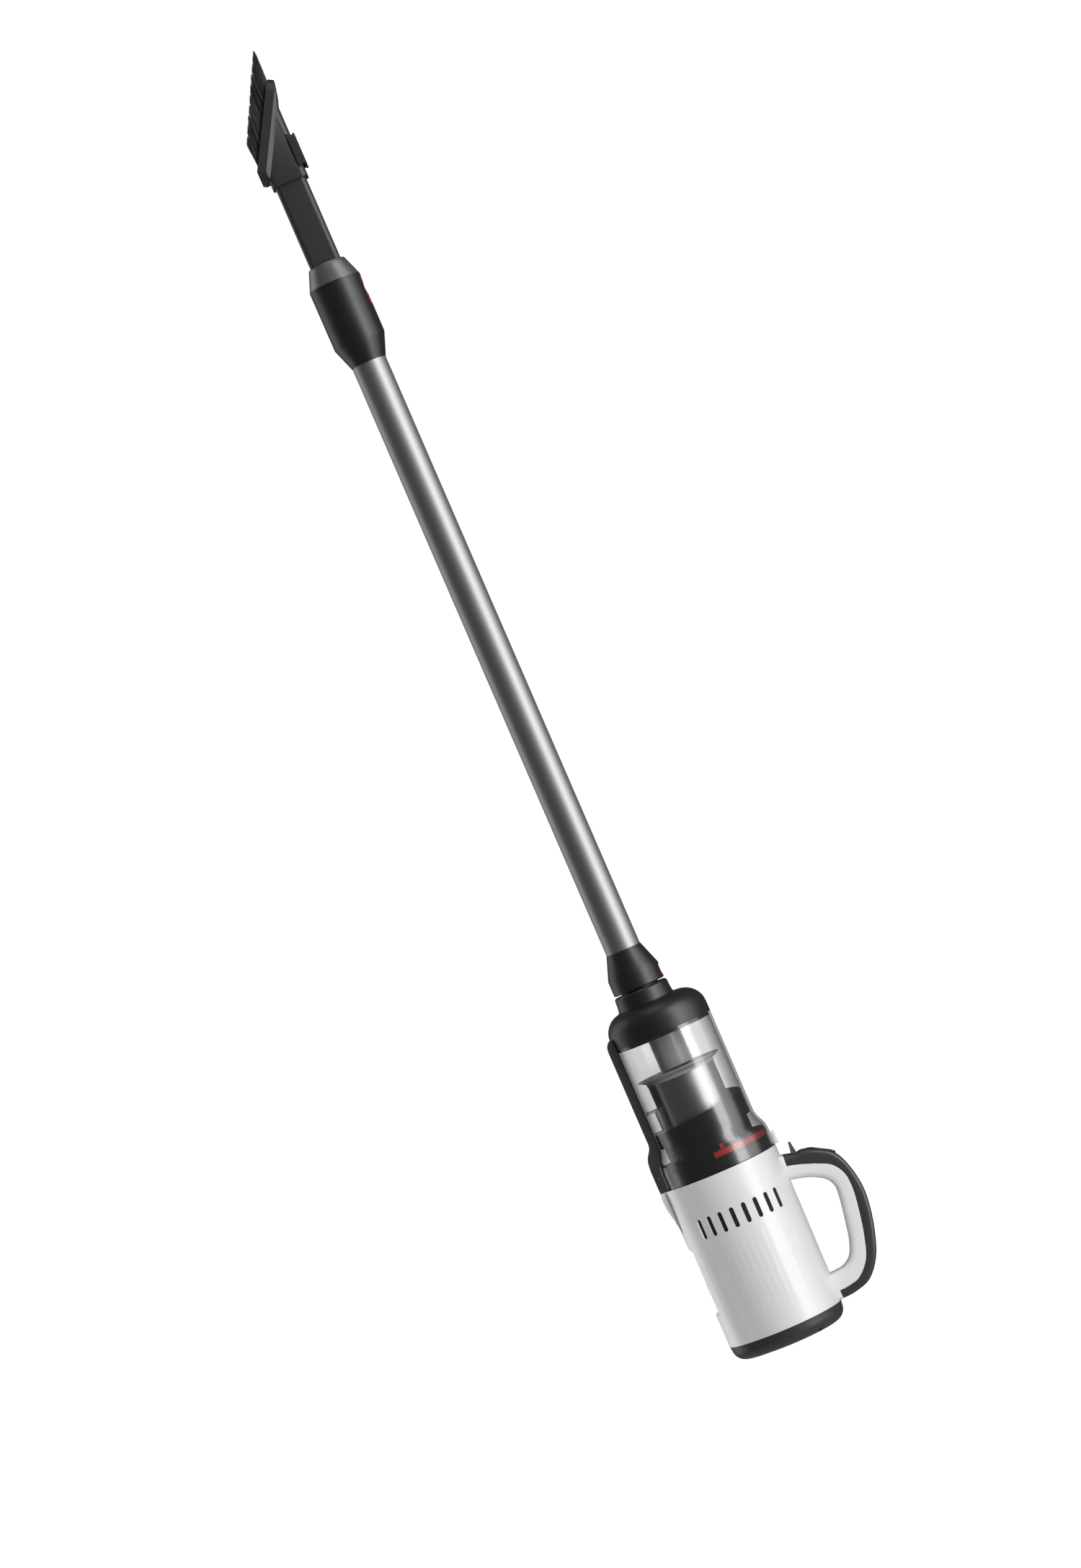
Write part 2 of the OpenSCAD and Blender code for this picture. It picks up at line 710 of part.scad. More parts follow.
// Ring that locks the filter in its housing, with a nub for the thumb
module lock_ring() {
    color([0.75, 0.12, 0.14]) on_body() difference() {
        union() {
            tube(49.4, 46.5, ring_z[0], ring_z[1]);
            rotate([0, 0, nub_a]) translate([46.6, -1.6, ring_z[1] - 2]) cube([1.6, 3.2, 7.2]);
        }
        rotate([0, 0, 88]) translate([-60, 0, ring_z[0] - 2]) cube([120, 60, 20]);
    }
}

module pleated_filter() {
    color("white") on_body() difference() {
        translate([0, 0, 172]) linear_extrude(32) polygon([for (k = [0 : 71])
            (k % 2 == 0 ? 36.8 : 31.6) * [cos(k * 5), sin(k * 5)]]);
        translate([0, 0, 170]) cylinder(r = 26, h = 40);
    }
}

module filter_seal() {
    color("black") on_body() tube(39.8, 27.5, 169, 172);
}

// ---------------------------------------------------------------- wand

module wand_tube() {
    color([0.55, 0.56, 0.57]) tube(tube_r, tube_r - tube_t, tube_z[0], tube_z[1]);
}

// Pocket in a collar for a push button on the +X side
module button_pocket(z, w, floor_x) {
    translate([floor_x, -w / 2, z[0] - 0.4]) cube([10, w, z[1] - z[0] + 0.8]);
}

// Push button whose outer face follows the collar
module push_button(z, w, floor_x) {
    difference() {
        intersection() {
            translate([floor_x, 0.4 - w / 2, z[0]]) cube([10, w - 0.8, z[1] - z[0]]);
            translate([0, 0, z[0] - 1]) cylinder(r = collar_r, h = z[1] - z[0] + 2);
        }
        // hollow for the spring, and a thumb dimple
        translate([floor_x - 1, 0, (z[0] + z[1]) / 2]) rotate([0, 90, 0])
            cylinder(r = 2.6, h = 2.6, $fn = 32);
        translate([collar_r + 27.2, 0, (z[0] + z[1]) / 2 + 2]) rotate([90, 0, 0])
            cylinder(r = 28, h = 40, center = true);
    }
}

module lower_collar() {
    color([0.06, 0.06, 0.06]) difference() {
        rotate_extrude() polygon([[spigot_r - 2.4, 303], [spigot_r, 303], [spigot_r, lower_z],
            [collar_r - 0.8, lower_z], [collar_r, lower_z + 0.8], [collar_r, lower_z + 14.3],
            [16.3, lower_z + 36], [tube_r, lower_z + 36], [tube_r, tube_z[0]],
            [tube_r - 1.2, tube_z[0]], [spigot_r - 2.4, lower_z + 2]]);
        button_pocket(lower_button_z, 15, 19.4);
    }
}

module lower_button() {
    color([0.75, 0.12, 0.14]) push_button(lower_button_z, 15, 19.5 + release_travel);
}

module lower_button_spring() {
    color("silver") translate([19.4, 0, 346.5]) rotate([0, 90, 0]) coil(1.9, 0.25, 3.2, 4);
}

module upper_collar() {
    color([0.06, 0.06, 0.06]) difference() {
        rotate_extrude() polygon([[tube_r, upper_z], [16.3, upper_z], [collar_r, upper_seam],
            [collar_r + 0.2, upper_rim], [tube_r - 0.2, upper_rim], [tube_r - 0.2, tube_z[1]],
            [tube_r, tube_z[1]]]);
        button_pocket(upper_button_z, 16, 18.4);
    }
}

module upper_collar_ring() {
    color([0.16, 0.16, 0.17]) rotate_extrude() polygon([[tube_r - 0.2, upper_rim],
        [collar_r + 0.1, upper_rim], [17.5, upper_end - 0.8], [17, upper_end],
        [tube_r - 0.2, upper_end]]);
}

module upper_button() {
    color([0.75, 0.12, 0.14]) push_button(upper_button_z, 16, 19 + release_travel);
}

module upper_button_spring() {
    z = (upper_button_z[0] + upper_button_z[1]) / 2;
    color("silver") translate([18.4, 0, z]) rotate([0, 90, 0]) coil(1.9, 0.25, 3.8, 5);
}

// Strip inside the tube that covers the wires of a powered tool
module wand_wire_cover() {
    color("black") intersection() {
        translate([-15, -3, 380]) cube([2.6, 6, 590]);
        translate([0, 0, 370]) cylinder(r = tube_r - tube_t, h = 610);
    }
}

// ---------------------------------------------------------------- tool

// Everything behind the slanted plane that starts at p in XZ
module behind_mouth(p) {
    translate([p[0], 0, p[1]]) rotate([0, -mouth_tilt, 0]) translate([-100, -50, -150])
        cube([300, 100, 150]);
}

module crevice_nozzle() {
    color([0.13, 0.13, 0.135]) difference() {
        union() {
            translate([0, 0, 992]) cylinder(r = tube_r - 0.3, h = upper_end + 0.4 - 992);
            intersection() {
                translate([tool_x, 0, upper_end + 0.1]) slab([nozzle_w, nozzle_d], 5, 160);
                behind_mouth([tool_x - nozzle_w / 2, 1128]);
            }
        }
        translate([0, 0, 990]) cylinder(r = tube_r - 2.1, h = upper_end - 990 - 6);
        translate([tool_x, 0, upper_end - 12]) slab([nozzle_w - 4.4, nozzle_d - 4.4], 3, 200);
        // groove that the upper button holds the tool by
        tube(tube_r + 1, tube_r - 1.2, upper_z + 58, upper_z + 63);
    }
}

// Turns a plate drawn in XY so that it lies in the mouth plane, its X along the
// mouth and its Z pointing out of it
module in_mouth() {
    translate([mouth_at[0], 0, mouth_at[1]]) rotate([0, -mouth_tilt, 0]) children();
}

module brush_outside() {
    intersection() {
        translate([tool_x, 0, brush_z]) slab([34, 33], 6, 100);
        in_mouth() translate([-60, -40, -90]) cube([220, 80, 85]);
    }
    intersection() {
        // round-cornered rim whose back is chamfered along both directions
        in_mouth() intersection() {
            translate([32.5, 0, -rim_t]) slab([94, 38], 13, rim_t);
            across(40) polygon([[-14.5, 0], [-14.5, -rim_edge], [-11, -rim_t], [52, -rim_t],
                [66, -9.4], [79.5, -5.4], [79.5, 0]]);
            translate([-15, 0, 0]) rotate([90, 0, 90]) linear_extrude(96)
                polygon([[-19, 0], [-19, -rim_edge], [-16.5, -rim_t], [16.5, -rim_t],
                    [19, -rim_edge], [19, 0]]);
        }
        translate([-24, -30, 1123]) cube([60, 60, 90]);
    }
}

module brush_head() {
    color([0.09, 0.09, 0.095]) difference() {
        brush_outside();
        translate([tool_x, 0, brush_z - 1])
            slab([nozzle_w + 0.7, nozzle_d + 0.7], 5.3, 100);
        in_mouth() translate([33, 0, -5]) slab([80, 29], 9, 12);
        // seat of the slide button, and the hole for its stem
        for (y = [-20, 14.9])
            translate([10.6, y, pad_z[0] - 0.5]) cube([12, 5.1, pad_z[1] - pad_z[0] + 1]);
        translate([15.9, -20, pad_z[0] - 0.5]) cube([12, 40, pad_z[1] - pad_z[0] + 1]);
        translate([0, 0, (pad_z[0] + pad_z[1]) / 2]) rotate([0, 90, 0])
            cylinder(r = 3.1, h = 40, $fn = 48);
    }
}

// Soft ring of bristles round the mouth
module brush_bristles() {
    color([0.05, 0.05, 0.05]) difference() {
        across(31) polygon([[-21.2, 1141.8], [-22.6, 1139.5 + bristle_l - 6],
            [19.6, 1208.6 + bristle_l], [19.4, 1208.4]]);
        translate([tool_x, 0, 1100]) slab([nozzle_w + 1, nozzle_d + 1], 5, 180);
        behind_mouth([mouth_at[0], mouth_at[1] + 0.1]);
    }
}

// Saddle-shaped button that straddles the brush and frees it to slide
module brush_button() {
    h = pad_z[1] - pad_z[0];
    mid = (pad_z[0] + pad_z[1]) / 2;
    color([0.1, 0.1, 0.105]) difference() {
        translate([12.5, 0, mid]) rotate([0, 90, 0]) intersection() {
            slab([h, 33.6], 5, 7.5);
            rotate([90, 0, 0]) linear_extrude(40, center = true) polygon([[-h / 2, 7.5],
                [h / 2, 7.5], [h / 2, 3], [h / 2 - 3, 0], [3 - h / 2, 0], [-h / 2, 3]]);
        }
        translate([10, -15.1, pad_z[0] - 1]) cube([8.2, 30.2, h + 2]);
    }
    color([0.1, 0.1, 0.105]) translate([15.9, 0, mid]) rotate([0, 90, 0])
        cylinder(r = 3, h = 2.4, $fn = 48);
}

module brush_button_spring() {
    color("silver") translate([15.95, 8, 1141.75]) rotate([0, 90, 0]) coil(1.6, 0.2, 2.2, 3);
}

body_shell();
top_deck();
deck_seal();
exhaust_foam();
fan_housing();
motor_can();
stator_coils();
rotor_core();
motor_shaft();
impeller();
motor_bearings();
circuit_board();
battery_cells();
battery_trays();
battery_straps();
base_cap();
base_screws();
charge_contacts();
handle_shell();
handle_grip();
control_panel();
power_button();
mode_button();
release_lever();
lever_pin();
lever_spring();
dust_cup();
dome();
dome_seal();
neck_ring();
inlet_duct();
cup_spine();
cup_latch();
latch_pin();
latch_spring();
fill_plate();
screen_frame();
steel_screen();
inlet_spout();
spiral_ramp();
filter_housing();
lock_ring();
pleated_filter();
filter_seal();
wand_tube();
lower_collar();
lower_button();
lower_button_spring();
upper_collar();
upper_collar_ring();
upper_button();
upper_button_spring();
wand_wire_cover();
crevice_nozzle();
brush_head();
brush_bristles();
brush_button();
brush_button_spring();
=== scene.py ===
import json
import math
import random

import bmesh
import bpy
from mathutils import Matrix, Vector


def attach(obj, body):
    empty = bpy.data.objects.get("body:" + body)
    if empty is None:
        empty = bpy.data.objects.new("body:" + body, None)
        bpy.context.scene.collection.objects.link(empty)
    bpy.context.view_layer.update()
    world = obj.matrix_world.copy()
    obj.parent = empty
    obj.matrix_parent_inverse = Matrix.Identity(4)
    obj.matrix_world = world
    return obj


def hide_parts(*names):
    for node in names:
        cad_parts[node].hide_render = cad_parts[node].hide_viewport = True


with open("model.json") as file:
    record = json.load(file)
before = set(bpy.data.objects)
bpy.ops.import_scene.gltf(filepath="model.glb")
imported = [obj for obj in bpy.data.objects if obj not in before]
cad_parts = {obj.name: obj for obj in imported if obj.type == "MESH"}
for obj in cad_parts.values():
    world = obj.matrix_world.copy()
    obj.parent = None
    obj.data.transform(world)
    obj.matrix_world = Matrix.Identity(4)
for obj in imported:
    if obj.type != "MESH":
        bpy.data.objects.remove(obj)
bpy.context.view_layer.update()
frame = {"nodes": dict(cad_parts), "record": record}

NODES = frame["nodes"]
BODY_AXIS_X = 0.003
EDGE_R = 0.0005                 # how far moulded edges look rounded
STEEL_EDGE_R = 0.0002           # the same for machined ones
SMOOTH_ANGLE = 32               # degrees over which a CAD edge stays sharp
FLUTES = 50                     # faint flutes round the body
FLUTES_START = (0.018, 0.050)   # heights over which they come in
FLUTES_END = (0.098, 0.110)     # and those over which they fade out, under the vent slots
SCREEN_COLUMNS = 300            # holes round the steel screen
SCREEN_PITCH = 0.00066          # height of a row of its holes
LATCH_BLOCK_X = (-0.0445, -0.0415)      # where the cup's dark latch block fades out, to the back
LATCH_BLOCK_Z = (0.1880, 0.1915)        # and upwards
LATCH_BLOCK_ALPHA = 0.74

# The brush's mouth, and the tufts of bristles that stand along it
MOUTH_START = Vector((-0.0215, 0, 1.141))
MOUTH_TILT = math.radians(60.66)
MOUTH_ALONG = Vector((math.cos(MOUTH_TILT), 0, math.sin(MOUTH_TILT)))
MOUTH_LENGTH = 0.0775
BRISTLE_SHORT = 0.0225          # at the mouth's low end
BRISTLE_LONG = 0.0314           # at its high end
BRISTLE_SUNK = 0.0010           # how far a root is below the mouth
TUFTS = 9                       # in each of the two long rows
TUFT_FIRST = 0.0048
TUFT_PITCH = 0.0083
TUFT_Y = 0.0142
TUFT_DEEP = 0.0023
TUFT_STRANDS = 190
TUFT_CROWN = 0.15               # how much shorter a tuft is towards its sides
END_ROWS = (TUFT_FIRST - 0.0022, TUFT_FIRST + (TUFTS - 1) * TUFT_PITCH + 0.0046)
END_PITCH = 0.0052
END_WIDE = 0.0026
END_DEEP = 0.0048
END_STRANDS = 90


# ---------------------------------------------------------------- camera, light and stage

LEAN = math.radians(23.43)      # how far the wand leans to the left in the picture
CAMERA_DISTANCE = 4.45
CAMERA_HEIGHT = 0.49
AIM = Vector((-0.009, 0, 0.540))
LENS = 115.1
LIGHT_DISTANCE = 2.6
LIGHT_HEIGHT = 1.2
FLOOR_Z = -0.46
FLOOR_R = 1.1


def make_camera():
    data = bpy.data.cameras.new("camera")
    data.lens = LENS
    camera = bpy.data.objects.new("camera", data)
    bpy.context.scene.collection.objects.link(camera)
    place = Vector((AIM.x, -CAMERA_DISTANCE, CAMERA_HEIGHT))
    back = (place - AIM).normalized()
    up = Vector((math.sin(LEAN), 0, math.cos(LEAN)))
    right = up.cross(back).normalized()
    up = back.cross(right)
    turn = Matrix((right, up, back)).transposed().to_4x4()
    camera.matrix_world = Matrix.Translation(place) @ turn
    bpy.context.scene.camera = camera


def softbox(name, azimuth, width, radiance, seen, height=4.2, elevation=0.0):
    """A rectangular light round the object. Azimuth 0 is on the camera's side and 90 is to
    the right of it. Seen says whether it shows in "gloss", in "diffuse" or in "all" shading."""
    data = bpy.data.lights.new(name, "AREA")
    data.shape = "RECTANGLE"
    data.size, data.size_y = width, height
    data.energy = radiance * math.pi * width * height
    light = bpy.data.objects.new(name, data)
    bpy.context.scene.collection.objects.link(light)
    a, e = math.radians(azimuth), math.radians(elevation)
    away = Vector((math.sin(a) * math.cos(e), -math.cos(a) * math.cos(e), math.sin(e)))
    light.location = Vector((0, 0, LIGHT_HEIGHT)) + away * LIGHT_DISTANCE
    light.rotation_mode = "QUATERNION"
    light.rotation_quaternion = away.to_track_quat("Z", "Y")
    light.visible_diffuse = seen != "gloss"
    light.visible_glossy = seen != "diffuse"


def make_lights():
    softbox("key", 49, 1.1, 5.0, "gloss")
    softbox("key_wing", 76, 1.5, 1.6, "gloss")
    softbox("left_gloss", -115, 2.0, 0.9, "gloss")
    softbox("key_fill", 34, 1.2, 5.5, "diffuse")
    softbox("left_fill", -122, 1.6, 5.4, "diffuse")
    softbox("top", 20, 1.6, 1.2, "all", 1.6, 78)


def make_world():
    """White behind the object, and a dim grey room in reflections."""
    world = bpy.data.worlds.new("world")
    bpy.context.scene.world = world
    world.use_nodes = True
    tree = world.node_tree
    tree.nodes.clear()
    room = tree.nodes.new("ShaderNodeBackground")
    room.inputs["Color"].default_value = (0.09, 0.09, 0.09, 1)
    room.inputs["Strength"].default_value = 1.0
    white = tree.nodes.new("ShaderNodeBackground")
    white.inputs["Color"].default_value = (1, 1, 1, 1)
    white.inputs["Strength"].default_value = 1.05
    path = tree.nodes.new("ShaderNodeLightPath")
    mix = tree.nodes.new("ShaderNodeMixShader")
    out = tree.nodes.new("ShaderNodeOutputWorld")
    tree.links.new(path.outputs["Is Camera Ray"], mix.inputs[0])
    tree.links.new(room.outputs[0], mix.inputs[1])
    tree.links.new(white.outputs[0], mix.inputs[2])
    tree.links.new(mix.outputs[0], out.inputs[0])


def make_floor():
    """A round pale floor that fades out at its edge."""
    mesh = bpy.data.meshes.new("floor")
    bm = bmesh.new()
    bmesh.ops.create_circle(bm, cap_ends=True, segments=96, radius=FLOOR_R)
    bm.to_mesh(mesh)
    bm.free()
    floor = bpy.data.objects.new("floor", mesh)
    floor.location.z = FLOOR_Z
    bpy.context.scene.collection.objects.link(floor)
    mat, tree, out = blank_material("floor_white")
    paint = tree.nodes.new("ShaderNodeBsdfDiffuse")
    paint.inputs["Color"].default_value = (0.9, 0.9, 0.9, 1)
    clear = tree.nodes.new("ShaderNodeBsdfTransparent")
    mix = tree.nodes.new("ShaderNodeMixShader")
    where = tree.nodes.new("ShaderNodeTexCoord")
    far = tree.nodes.new("ShaderNodeVectorMath")
    far.operation = "LENGTH"
    tree.links.new(where.outputs["Object"], far.inputs[0])
    fade = spread(tree, far.outputs["Value"], 0.45, 1, FLOOR_R * 0.35, FLOOR_R * 0.98, True)
    tree.links.new(fade, mix.inputs[0])
    tree.links.new(paint.outputs[0], mix.inputs[1])
    tree.links.new(clear.outputs[0], mix.inputs[2])
    tree.links.new(mix.outputs[0], out.inputs["Surface"])
    mesh.materials.append(mat)


# ---------------------------------------------------------------- materials

def blank_material(name):
    mat = bpy.data.materials.new(name)
    mat.use_nodes = True
    tree = mat.node_tree
    tree.nodes.clear()
    out = tree.nodes.new("ShaderNodeOutputMaterial")
    return mat, tree, out


def shader(name, color, rough, metal=0.0, coat=0.0, coat_rough=0.1, ior=1.5):
    """A material with one Principled shader. Even values are set on its own sockets."""
    mat, tree, out = blank_material(name)
    bsdf = tree.nodes.new("ShaderNodeBsdfPrincipled")
    bsdf.inputs["Base Color"].default_value = (*color, 1)
    bsdf.inputs["Roughness"].default_value = rough
    bsdf.inputs["Metallic"].default_value = metal
    bsdf.inputs["Coat Weight"].default_value = coat
    bsdf.inputs["Coat Roughness"].default_value = coat_rough
    bsdf.inputs["IOR"].default_value = ior
    tree.links.new(bsdf.outputs[0], out.inputs["Surface"])
    return mat, tree, bsdf


def noise(tree, scale, detail=3.0, stretch=(1, 1, 1), rough=0.55):
    """Noise over the object's own coordinates, in metres, stretched by dividing its scale."""
    where = tree.nodes.new("ShaderNodeTexCoord")
    place = tree.nodes.new("ShaderNodeMapping")
    place.inputs["Scale"].default_value = stretch
    tex = tree.nodes.new("ShaderNodeTexNoise")
    tex.inputs["Scale"].default_value = scale
    tex.inputs["Detail"].default_value = detail
    tex.inputs["Roughness"].default_value = rough
    tree.links.new(where.outputs["Object"], place.inputs["Vector"])
    tree.links.new(place.outputs["Vector"], tex.inputs["Vector"])
    return tex.outputs["Fac"]


def spread(tree, value, low, high, start=0.0, end=1.0, smooth=False):
    """Maps a value from start..end to low..high."""
    node = tree.nodes.new("ShaderNodeMapRange")
    node.interpolation_type = "SMOOTHSTEP" if smooth else "LINEAR"
    node.inputs["From Min"].default_value = start
    node.inputs["From Max"].default_value = end
    node.inputs["To Min"].default_value = low
    node.inputs["To Max"].default_value = high
    tree.links.new(value, node.inputs["Value"])
    return node.outputs["Result"]


def math_node(tree, kind, a, b=None):
    node = tree.nodes.new("ShaderNodeMath")
    node.operation = kind
    for socket, value in zip(node.inputs, (a, b)):
        if isinstance(value, (int, float)):
            socket.default_value = value
        elif value is not None:
            tree.links.new(value, socket)
    return node.outputs[0]


def place_xyz(tree):
    """The X, Y and Z of a point in the object's coordinates, in metres."""
    where = tree.nodes.new("ShaderNodeTexCoord")
    split = tree.nodes.new("ShaderNodeSeparateXYZ")
    tree.links.new(where.outputs["Object"], split.inputs[0])
    return split.outputs["X"], split.outputs["Y"], split.outputs["Z"]


def around_body(tree):
    """Angle round the body's axis in radians, and height."""
    x, y, z = place_xyz(tree)
    return math_node(tree, "ARCTAN2", y, math_node(tree, "SUBTRACT", x, BODY_AXIS_X)), z


def round_edges(tree, radius=EDGE_R):
    """Normals that run softly over edges, and a mask that is 1 on the edges."""
    soft = tree.nodes.new("ShaderNodeBevel")
    soft.samples = 6
    soft.inputs["Radius"].default_value = radius
    flat = tree.nodes.new("ShaderNodeNewGeometry")
    dot = tree.nodes.new("ShaderNodeVectorMath")
    dot.operation = "DOT_PRODUCT"
    tree.links.new(soft.outputs["Normal"], dot.inputs[0])
    tree.links.new(flat.outputs["Normal"], dot.inputs[1])
    return soft.outputs["Normal"], spread(tree, dot.outputs["Value"], 1, 0, 0.86, 0.985)


def bump(tree, bsdf, height, distance, strength=1.0, below=None):
    node = tree.nodes.new("ShaderNodeBump")
    node.inputs["Strength"].default_value = strength
    node.inputs["Distance"].default_value = distance
    tree.links.new(height, node.inputs["Height"])
    if below is not None:
        tree.links.new(below, node.inputs["Normal"])
    tree.links.new(node.outputs["Normal"], bsdf.inputs["Normal"])
    return node.outputs["Normal"]


def mix_color(tree, factor, a, b):
    """Colour between a and b. Each is a triple or a socket."""
    mix = tree.nodes.new("ShaderNodeMix")
    mix.data_type = "RGBA"
    tree.links.new(factor, mix.inputs["Factor"])
    for name, value in (("A", a), ("B", b)):
        socket = [s for s in mix.inputs if s.name == name and s.type == "RGBA"][0]
        if isinstance(value, tuple):
            socket.default_value = (*value, 1)
        else:
            tree.links.new(value, socket)
    return [s for s in mix.outputs if s.type == "RGBA"][0]


def scaled(color, k):
    return tuple(min(1.0, c * k) for c in color)


def plastic(name, color, rough, grain=2200, depth=0.00002, wander=0.05, coat=0.0, share=0.06,
            wear=1.5, edge=EDGE_R, ior=1.5):
    """Moulded plastic: fine grain, slow changes in gloss and tone, and rubbed edges."""
    mat, tree, bsdf = shader(name, color, rough, coat=coat, ior=ior)
    slow = noise(tree, 18, 3)
    soft, rim = round_edges(tree, edge)
    tree.links.new(spread(tree, slow, rough - wander, rough + wander), bsdf.inputs["Roughness"])
    tone = mix_color(tree, slow, scaled(color, 1 - share), scaled(color, 1 + share))
    patches = spread(tree, noise(tree, 140, 2), 0.1, 0.9, 0.35, 0.65)
    rubbed = math_node(tree, "MULTIPLY", rim, patches)
    tree.links.new(mix_color(tree, rubbed, tone, scaled(color, wear)), bsdf.inputs["Base Color"])
    bump(tree, bsdf, noise(tree, grain, 2), depth, 1.0, soft)
    return mat


def white_plastic():
    """Satin white, with faint upright flutes under the vent slots."""
    color = (0.80, 0.80, 0.80)
    mat, tree, bsdf = shader("white_satin", color, 0.3, coat=0.15, coat_rough=0.2)
    slow = noise(tree, 9, 3)
    tree.links.new(spread(tree, slow, 0.30, 0.40), bsdf.inputs["Roughness"])
    soft, rim = round_edges(tree)
    tone = mix_color(tree, slow, scaled(color, 0.985), scaled(color, 1.015))
    dirt = math_node(tree, "MULTIPLY", rim, spread(tree, noise(tree, 120, 3), 0, 0.5, 0.4, 0.7))
    tree.links.new(mix_color(tree, dirt, tone, scaled(color, 0.86)), bsdf.inputs["Base Color"])
    angle, height = around_body(tree)
    wave = math_node(tree, "COSINE", math_node(tree, "MULTIPLY", angle, FLUTES))
    low = spread(tree, height, 0, 1, *FLUTES_START, True)
    high = spread(tree, height, 1, 0, *FLUTES_END, True)
    flutes = math_node(tree, "MULTIPLY", math_node(tree, "MULTIPLY", wave, low), high)
    under = bump(tree, bsdf, flutes, 0.00004, 1.0, soft)
    bump(tree, bsdf, noise(tree, 420, 2), 0.00001, 0.5, under)
    return mat


def tube_metal():
    """Anodised tube with a fine lengthwise grain."""
    color = (0.37, 0.37, 0.375)
    mat, tree, bsdf = shader("tube_metal", color, 0.50, metal=1.0)
    grain = noise(tree, 1500, 3, stretch=(1, 1, 0.012))
    tree.links.new(spread(tree, grain, 0.46, 0.54), bsdf.inputs["Roughness"])
    slow = noise(tree, 30, 2, stretch=(1, 1, 0.2))
    tree.links.new(mix_color(tree, slow, scaled(color, 0.96), scaled(color, 1.04)),
                   bsdf.inputs["Base Color"])
    bump(tree, bsdf, grain, 0.000004, 0.3)
    return mat


def steel(name="steel", color=(0.62, 0.62, 0.63), rough=0.28):
    mat, tree, bsdf = shader(name, color, rough, metal=1.0)
    fine = noise(tree, 700, 3)
    tree.links.new(spread(tree, fine, rough - 0.06, rough + 0.1), bsdf.inputs["Roughness"])
    soft, _ = round_edges(tree, STEEL_EDGE_R)
    bump(tree, bsdf, fine, 0.00001, 0.4, soft)
    return mat


def clear_plastic():
    """Clear smoky moulding: see-through where it faces the eye, darker towards its sides, and
    nearly black in the block at the foot of the spine that carries the latch."""
    mat, tree, bsdf = shader("clear_cup", (0.02, 0.02, 0.02), 0.2, ior=4.0)
    edge = tree.nodes.new("ShaderNodeLayerWeight")
    edge.inputs["Blend"].default_value = 0.5
    smoke = spread(tree, edge.outputs["Facing"], 0.16, 0.60, 0.30, 1.0)
    x, _, z = place_xyz(tree)
    front = spread(tree, x, LATCH_BLOCK_ALPHA, 0, *LATCH_BLOCK_X, True)
    low = spread(tree, z, 1, 0, *LATCH_BLOCK_Z, True)
    block = math_node(tree, "MULTIPLY", front, low)
    tree.links.new(math_node(tree, "MAXIMUM", smoke, block), bsdf.inputs["Alpha"])
    bump(tree, bsdf, noise(tree, 45, 2), 0.0002, 0.12)
    return mat


def screen_steel():
    """Steel sheet with rows of fine round holes."""
    color = (0.62, 0.62, 0.625)
    mat, tree, bsdf = shader("screen_steel", color, 0.34, metal=1.0)
    angle, height = around_body(tree)
    column = math_node(tree, "COSINE", math_node(tree, "MULTIPLY", angle, SCREEN_COLUMNS))
    row = math_node(tree, "COSINE", math_node(tree, "MULTIPLY", height, math.tau / SCREEN_PITCH))
    hole = spread(tree, math_node(tree, "ADD", column, row), 0, 1, 0.75, 1.05)
    tree.links.new(mix_color(tree, hole, color, (0.01, 0.01, 0.01)), bsdf.inputs["Base Color"])
    tree.links.new(spread(tree, noise(tree, 900, 2), 0.30, 0.40), bsdf.inputs["Roughness"])
    bump(tree, bsdf, math_node(tree, "SUBTRACT", 1.0, hole), 0.00003, 0.4)
    return mat


def bristle_nylon():
    """Dark filaments, each a little different in tone."""
    mat, tree, bsdf = shader("nylon_bristle", (0.012, 0.012, 0.012), 0.4)
    tone = noise(tree, 420, 2, stretch=(1, 1, 0.05))
    color = mix_color(tree, spread(tree, tone, 0, 1, 0.35, 0.65), (0.010, 0.010, 0.010),
                      (0.070, 0.070, 0.071))
    tree.links.new(color, bsdf.inputs["Base Color"])
    bump(tree, bsdf, noise(tree, 1500, 2), 0.00002, 0.5)
    return mat


